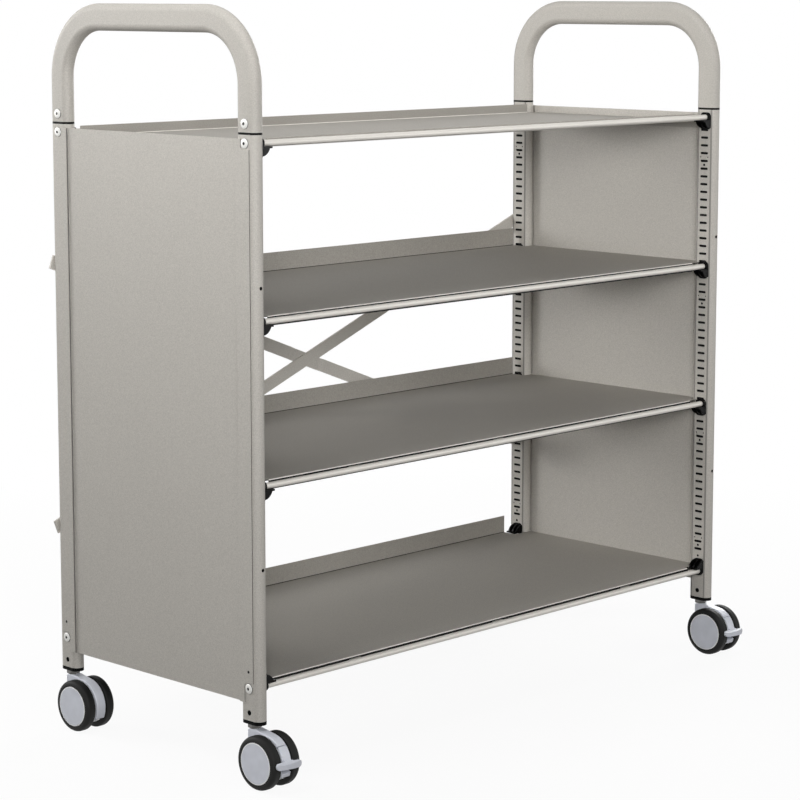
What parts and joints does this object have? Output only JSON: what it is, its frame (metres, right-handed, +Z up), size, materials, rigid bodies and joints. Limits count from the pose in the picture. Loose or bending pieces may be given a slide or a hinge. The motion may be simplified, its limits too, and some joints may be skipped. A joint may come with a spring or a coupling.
{
  "type": "mobile shelf trolley",
  "caption": "Open library shelf trolley with tubular end frames and push handles, sheet end panels, hung steel shelves, a rear cross brace and swivelling twin-wheel castors.",
  "frame": {"origin": "on the floor, at the centre of the overall length and depth", "axes": "+X along the shelves, -Y towards the front with the braked castors, +Z up"},
  "size_m": [1.0384, 0.4916, 1.054],
  "materials": {
    "silver_paint": "fine silver-grey powder coat, satin",
    "black_plastic": "moulded black",
    "bright_screw": "bright plated",
    "dark_screw": "black capped",
    "castor_plastic": "smooth moulded grey",
    "tyre_rubber": "matt dark grey",
    "plain_steel": "plain turned"
  },
  "bodies": {
    "frame": {"bottom_shelf_bars": "silver_paint", "bottom_shelf_brackets": "black_plastic", "bottom_shelf_deck": "silver_paint", "bottom_shelf_screws": "bright_screw", "brace_screws": "dark_screw", "castor_stems": "plain_steel", "falling_brace_bar": "silver_paint", "handle_joiners": "black_plastic", "handle_screws": "bright_screw", "left_end_panel": "silver_paint", "left_front_post": "silver_paint", "left_handle": "silver_paint", "left_rear_post": "silver_paint", "lower_shelf_bars": "silver_paint", "lower_shelf_brackets": "black_plastic", "lower_shelf_deck": "silver_paint", "post_plugs": "black_plastic", "right_end_panel": "silver_paint", "right_front_post": "silver_paint", "right_handle": "silver_paint", "right_rear_post": "silver_paint", "rising_brace_bar": "silver_paint", "top_shelf_bars": "silver_paint", "top_shelf_brackets": "black_plastic", "top_shelf_deck": "silver_paint", "top_shelf_screws": "bright_screw", "upper_shelf_bars": "silver_paint", "upper_shelf_brackets": "black_plastic", "upper_shelf_deck": "silver_paint"},
    "front_left_castor": {"front_left_hood": "castor_plastic", "front_left_axle": "plain_steel"},
    "front_left_left_wheel": {"front_left_left_hub": "castor_plastic", "front_left_left_tyre": "tyre_rubber"},
    "front_left_right_wheel": {"front_left_right_hub": "castor_plastic", "front_left_right_tyre": "tyre_rubber"},
    "front_left_brake": {"front_left_brake_lever": "castor_plastic"},
    "rear_left_castor": {"rear_left_hood": "castor_plastic", "rear_left_axle": "plain_steel"},
    "rear_left_left_wheel": {"rear_left_left_hub": "castor_plastic", "rear_left_left_tyre": "tyre_rubber"},
    "rear_left_right_wheel": {"rear_left_right_hub": "castor_plastic", "rear_left_right_tyre": "tyre_rubber"},
    "front_right_castor": {"front_right_hood": "castor_plastic", "front_right_axle": "plain_steel"},
    "front_right_left_wheel": {"front_right_left_hub": "castor_plastic", "front_right_left_tyre": "tyre_rubber"},
    "front_right_right_wheel": {"front_right_right_hub": "castor_plastic", "front_right_right_tyre": "tyre_rubber"},
    "front_right_brake": {"front_right_brake_lever": "castor_plastic"},
    "rear_right_castor": {"rear_right_hood": "castor_plastic", "rear_right_axle": "plain_steel"},
    "rear_right_left_wheel": {"rear_right_left_hub": "castor_plastic", "rear_right_left_tyre": "tyre_rubber"},
    "rear_right_right_wheel": {"rear_right_right_hub": "castor_plastic", "rear_right_right_tyre": "tyre_rubber"}
  },
  "joints": [
    {"name": "front_left_swivel", "type": "hinge", "parent": "frame", "child": "front_left_castor", "pos_m": [-0.494, -0.17415, 0.078], "axis": [0, 0, 1], "continuous": true},
    {"name": "front_left_left_spin", "type": "hinge", "parent": "front_left_castor", "child": "front_left_left_wheel", "pos_m": [-0.51175, -0.20165, 0.0375], "axis": [1, 0, 0], "continuous": true},
    {"name": "front_left_right_spin", "type": "hinge", "parent": "front_left_castor", "child": "front_left_right_wheel", "pos_m": [-0.47625, -0.20165, 0.0375], "axis": [1, 0, 0], "continuous": true},
    {"name": "front_left_brake_press", "type": "hinge", "parent": "front_left_castor", "child": "front_left_brake", "pos_m": [-0.494, -0.20165, 0.0375], "axis": [1, 0, 0], "range_deg": [0, 8]},
    {"name": "rear_left_swivel", "type": "hinge", "parent": "frame", "child": "rear_left_castor", "pos_m": [-0.494, 0.22085, 0.078], "axis": [0, 0, 1], "continuous": true},
    {"name": "rear_left_left_spin", "type": "hinge", "parent": "rear_left_castor", "child": "rear_left_left_wheel", "pos_m": [-0.51175, 0.19335, 0.0375], "axis": [1, 0, 0], "continuous": true},
    {"name": "rear_left_right_spin", "type": "hinge", "parent": "rear_left_castor", "child": "rear_left_right_wheel", "pos_m": [-0.47625, 0.19335, 0.0375], "axis": [1, 0, 0], "continuous": true},
    {"name": "front_right_swivel", "type": "hinge", "parent": "frame", "child": "front_right_castor", "pos_m": [0.494, -0.17415, 0.078], "axis": [0, 0, 1], "continuous": true},
    {"name": "front_right_left_spin", "type": "hinge", "parent": "front_right_castor", "child": "front_right_left_wheel", "pos_m": [0.47625, -0.20165, 0.0375], "axis": [1, 0, 0], "continuous": true},
    {"name": "front_right_right_spin", "type": "hinge", "parent": "front_right_castor", "child": "front_right_right_wheel", "pos_m": [0.51175, -0.20165, 0.0375], "axis": [1, 0, 0], "continuous": true},
    {"name": "front_right_brake_press", "type": "hinge", "parent": "front_right_castor", "child": "front_right_brake", "pos_m": [0.494, -0.20165, 0.0375], "axis": [1, 0, 0], "range_deg": [0, 8]},
    {"name": "rear_right_swivel", "type": "hinge", "parent": "frame", "child": "rear_right_castor", "pos_m": [0.494, 0.22085, 0.078], "axis": [0, 0, 1], "continuous": true},
    {"name": "rear_right_left_spin", "type": "hinge", "parent": "rear_right_castor", "child": "rear_right_left_wheel", "pos_m": [0.47625, 0.19335, 0.0375], "axis": [1, 0, 0], "continuous": true},
    {"name": "rear_right_right_spin", "type": "hinge", "parent": "rear_right_castor", "child": "rear_right_right_wheel", "pos_m": [0.51175, 0.19335, 0.0375], "axis": [1, 0, 0], "continuous": true}
  ]
}
